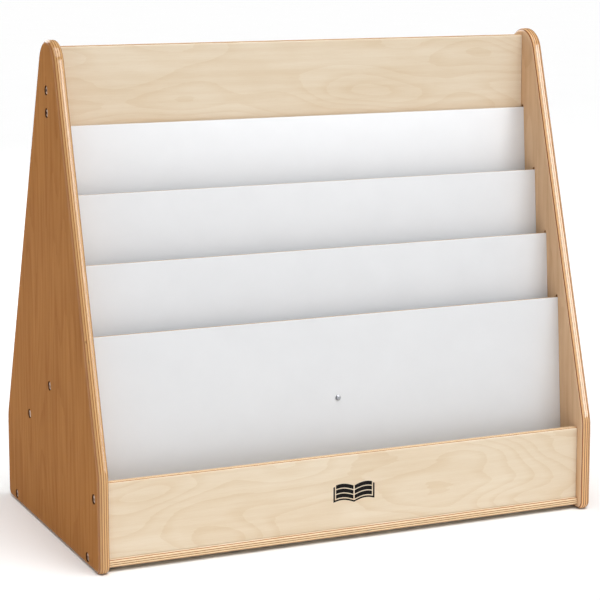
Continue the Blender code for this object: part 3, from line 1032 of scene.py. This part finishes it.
# %% Node tree: copies at the seats
SEAT_INPUTS = SHAPE + [
    ("Shape", ANY_OBJECT), ("Spin", NUMBER), ("Seed", INTEGER), ("Material", MATERIAL)]
at_seats, seats_in, seats_out = open_tree('GeometryNodeTree', "copies_at_the_seats", SEAT_INPUTS,
                                          SHAPE)
named = at_seats.add("GeometryNodeInputNamedAttribute", [("Name", "hand")], data_type='FLOAT')
out_axis = at_seats.vector(named.outputs[0])
outwards = at_seats.add("FunctionNodeAlignRotationToVector", [("Vector", out_axis)], axis='Z')
spin = random_spin(at_seats, seats_in)
pairs = [("Axis", (0.0, 0.0, 1.0)), ("Angle", spin)]
own_turn = at_seats.add("FunctionNodeAxisAngleToRotation", pairs)
pairs = [("Rotation", outwards.outputs[0]), ("Rotate By", own_turn.outputs[0])]
facing = at_seats.add("FunctionNodeRotateRotation", pairs, rotation_space='LOCAL')
shape_info = at_seats.add("GeometryNodeObjectInfo", [("Object", seats_in["Shape"])])
pairs = [("Points", seats_in["Geometry"]), ("Instance", shape_info.outputs["Geometry"]),
         ("Rotation", facing.outputs[0])]
copies = at_seats.add("GeometryNodeInstanceOnPoints", pairs)
close_tree(at_seats, copies.outputs[0], seats_in["Material"], seats_out)
print("seat tree:", len(at_seats.tree.nodes), "nodes")


# %% Put a shape on every seat
def on_every_seat(name, shape, node_start, reach, spin, seed, material):
    """reach is where the shape's own origin lies on X, measured outwards."""
    points = [(direction * reach, seat.y, seat.z) for direction in HANDS.values() for seat in seats]
    mesh = bpy.data.meshes.new(name)
    mesh.from_pydata(points, [], [])
    side_of = mesh.attributes.new("hand", 'FLOAT', 'POINT')
    side_of.data.foreach_set("value", [math.copysign(1.0, x) for x, _, _ in points])
    piece = new_object(name, mesh)
    grow(piece, at_seats.tree, shape=shape, spin=spin, seed=seed, material=material)
    bpy.data.objects.remove(shape)
    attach(piece, BODY)
    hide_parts(*["%s_%s_%d" % (node_start, hand, n)
                         for hand in HANDS for n in range(1, BOLTS_PER_SIDE + 1)])
    count_faces(piece)


# %% Make the connector bolts
BOLT_LENGTH = 34 * MM
HEAD_RADIUS = 5.8 * MM
HEAD_HEIGHT = 3.2 * MM
HEAD_RIM = 1.5 * MM
HEX_REACH = 2.0 * MM
THIRD_TURN = math.pi / 3


def hexagon(angle):
    return HEX_REACH / math.cos(angle % THIRD_TURN - THIRD_TURN / 2)


bolt_profile = [(BOLT_RADIUS - 0.7 * MM, -BOLT_LENGTH), (BOLT_RADIUS, -BOLT_LENGTH + 0.7 * MM),
                (BOLT_RADIUS, GAP), (HEAD_RADIUS - 0.3 * MM, GAP), (HEAD_RADIUS, 2 * GAP)]
bolt_profile += dome(HEAD_RADIUS, HEAD_RIM, HEAD_HEIGHT, math.radians(64), 8)
bolt_profile += [(hexagon, HEAD_HEIGHT - 0.15 * MM), (hexagon, HEAD_RIM - 0.4 * MM)]
on_every_seat("connector_bolts", turned("bolt", bolt_profile, 48), "connector_bolt",
              OUTER_X - SEAT_DEPTH, THIRD_TURN, 11, bronze)

# %% Make the inserts
insert_low, insert_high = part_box("threaded_insert_right_1")
length = insert_high.x - insert_low.x
inner = BOLT_RADIUS + GAP
insert_profile = [(INSERT_RADIUS - 0.4 * MM, 0.0), (INSERT_RADIUS, 0.4 * MM),
                  (INSERT_RADIUS, length - 0.4 * MM), (INSERT_RADIUS - 0.4 * MM, length),
                  (inner + 0.2 * MM, length), (inner, length - 0.3 * MM), (inner, 0.3 * MM),
                  (inner + 0.2 * MM, 0.0)]
on_every_seat("board_inserts", turned("insert", insert_profile, 32, closed=True),
              "threaded_insert", insert_low.x, 0.0, 0, brass)

# %% [markdown]
# ## A printed mark
# The lip carries a small mark in black ink. A plain open book is used here. Ink on lacquer is
# a thin film, so the mark is a set of flat shapes a tenth of a millimetre thick, each lofted
# from its curved lower edge to its curved upper edge.

# %% Ink and the open book
MARK_CENTRE = Vector((0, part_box("front_lip")[0].y, 69 * MM))
INK_THICK = 0.1 * MM
PAGE_STEPS = 14
COVER = 32.0             # millimetres from the spine to the cover's edge
COVER_EDGE = 2.4         # thickness of the cover's outline
LINE_HEIGHT = 5.6        # height of one dark band on a page
LINES = (-10.0, -3.0, 4.0)
LINE_START = 0.9
LINE_END = 28.0
COVER_LOW = -14.0
COVER_HIGH = 8.0
PAGE_LIFT = 4.6
SPINE_DROP = 1.5


def ink_finish():
    made, graph, shader = new_material("black_ink")
    place = object_place(graph)
    grain = graph.noise(place, scale=700.0, detail=4.0)
    colour = graph.mix(graph.ramp(grain, 0.45, 0.8), swatch(14, 12, 12), swatch(34, 28, 26))
    sheen = graph.times_plus(grain, 0.3, 0.5)
    graph.feed(shader, [("Base Color", colour), ("Roughness", sheen), ("Specular IOR Level", 0.1)])
    graph.emboss(shader, grain, 0.2, 0.03 * MM)
    return made


def page_rise(x):
    """How far a page lifts off the table, x mm from the spine."""
    return PAGE_LIFT * math.sin(math.pi * x / COVER * 0.85) - SPINE_DROP


def curved_strip(side, near, far, low, high):
    """A strip from near to far of the spine, between two heights that follow the page's rise."""
    rings = []
    for i in range(PAGE_STEPS + 1):
        x = near + (far - near) * i / PAGE_STEPS
        corners = [(low, -INK_THICK), (high, -INK_THICK), (high, 0.0), (low, 0.0)]
        rings.append([MARK_CENTRE + Vector((side * x * MM, y, (page_rise(x) + z) * MM))
                      for z, y in corners])
    return lofted("strip", rings, smooth=False)


def joined(name, parts):
    """Put several meshes into one object and remove the originals."""
    work = bmesh.new()
    for part in parts:
        work.from_mesh(part.data)
        bpy.data.objects.remove(part)
    mesh = bpy.data.meshes.new(name)
    work.to_mesh(mesh)
    work.free()
    return new_object(name, mesh)


strips = []
for side in (-1, 1):
    strips += [curved_strip(side, LINE_START, LINE_END, low, low + LINE_HEIGHT) for low in LINES]
    rim_top = COVER_LOW + COVER_EDGE
    strips.append(curved_strip(side, 0.0, COVER, COVER_LOW, rim_top))
    strips.append(curved_strip(side, COVER - COVER_EDGE, COVER, rim_top, COVER_HIGH))
mark = dress(joined("printed_mark", strips), ink_finish())
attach(mark, BODY)
count_faces(mark)

# %% [markdown]
# ## Stage, light and camera
# The stand is shown on a plain pale floor under a sky that is white all round the horizon and
# dimmer overhead, so that every view has a white ground and the boards keep some depth. A
# high, very soft sun from the front right gives the boards their direction. A soft box at the
# front right, seen only in reflections, lays a bright streak on the lacquered rims. A weaker
# box behind lights the storage side.

# %% Stage
FLOOR_HALF = 60.0
WHITE = (1.0, 1.0, 1.0, 1.0)
DIM_SKY = 0.22


def stage_floor():
    mesh = bpy.data.meshes.new("stage_floor")
    corners = [(-1, -1), (1, -1), (1, 1), (-1, 1)]
    points = [(x * FLOOR_HALF, y * FLOOR_HALF, -0.2 * MM) for x, y in corners]
    mesh.from_pydata(points, [], [(0, 1, 2, 3)])
    made, graph, shader = new_material("pale_floor")
    place = object_place(graph)
    tint = graph.mix(graph.noise(place, scale=3.0), swatch(250, 250, 250), swatch(252, 252, 252))
    graph.feed(shader, [("Base Color", tint), ("Roughness", 0.7), ("Specular IOR Level", 0.0)])
    mesh.materials.append(made)
    return new_object("stage_floor", mesh)


stage_floor()
world = bpy.data.worlds.new("white_sky")
world.use_nodes = True
sky = Graph(world.node_tree)
upwards = sky.split(sky.add("ShaderNodeTexCoord").outputs["Generated"])[2]
brightness = sky.ramp(upwards, 0.06, 0.34, low_out=1.0, high_out=DIM_SKY)
sky.feed(world.node_tree.nodes["Background"], [("Color", WHITE), ("Strength", brightness)])
bpy.context.scene.world = world


# %% Lamps
def lamp(name, kind, place, target, strength, **settings):
    """A lamp at place that shines towards target. Strength is in watts, and a sun's in watts
    per square metre."""
    made = bpy.data.objects.new(name, bpy.data.lights.new(name, kind))
    made.data.energy = strength
    for key, value in settings.items():
        setattr(made.data, key, value)
    made.location = place
    made.rotation_euler = (Vector(target) - Vector(place)).to_track_quat('-Z', 'Y').to_euler()
    bpy.context.scene.collection.objects.link(made)
    return made


lamp("high_sun", 'SUN', (0.45, -1.8, 4.6), (0, 0, 0), 2.62, angle=math.radians(50))
front_box = lamp("front_box", 'AREA', (1.5, -2.75, 1.65), (0, 0.1, 0.4), 105.0,
                 shape='RECTANGLE', size=1.7, size_y=1.8)
front_box.visible_diffuse = False
back_box = lamp("back_box", 'AREA', (-0.8, 3.2, 2.2), (0, 0, 0.4), 45.0, size=2.0)
front_box.visible_camera = False
back_box.visible_camera = False

# %% Camera
camera = bpy.data.objects.new("camera", bpy.data.cameras.new("camera"))
bpy.context.scene.collection.objects.link(camera)
camera.location = (-1.187, -2.662, 0.857)
camera.rotation_euler = (math.radians(81.032), 0.0, math.radians(-24.157))
camera.data.lens = 120.5
camera.data.sensor_width = 36.0
camera.data.shift_y = -0.1
bpy.context.scene.camera = camera
bpy.context.scene.view_settings.view_transform = 'Standard'
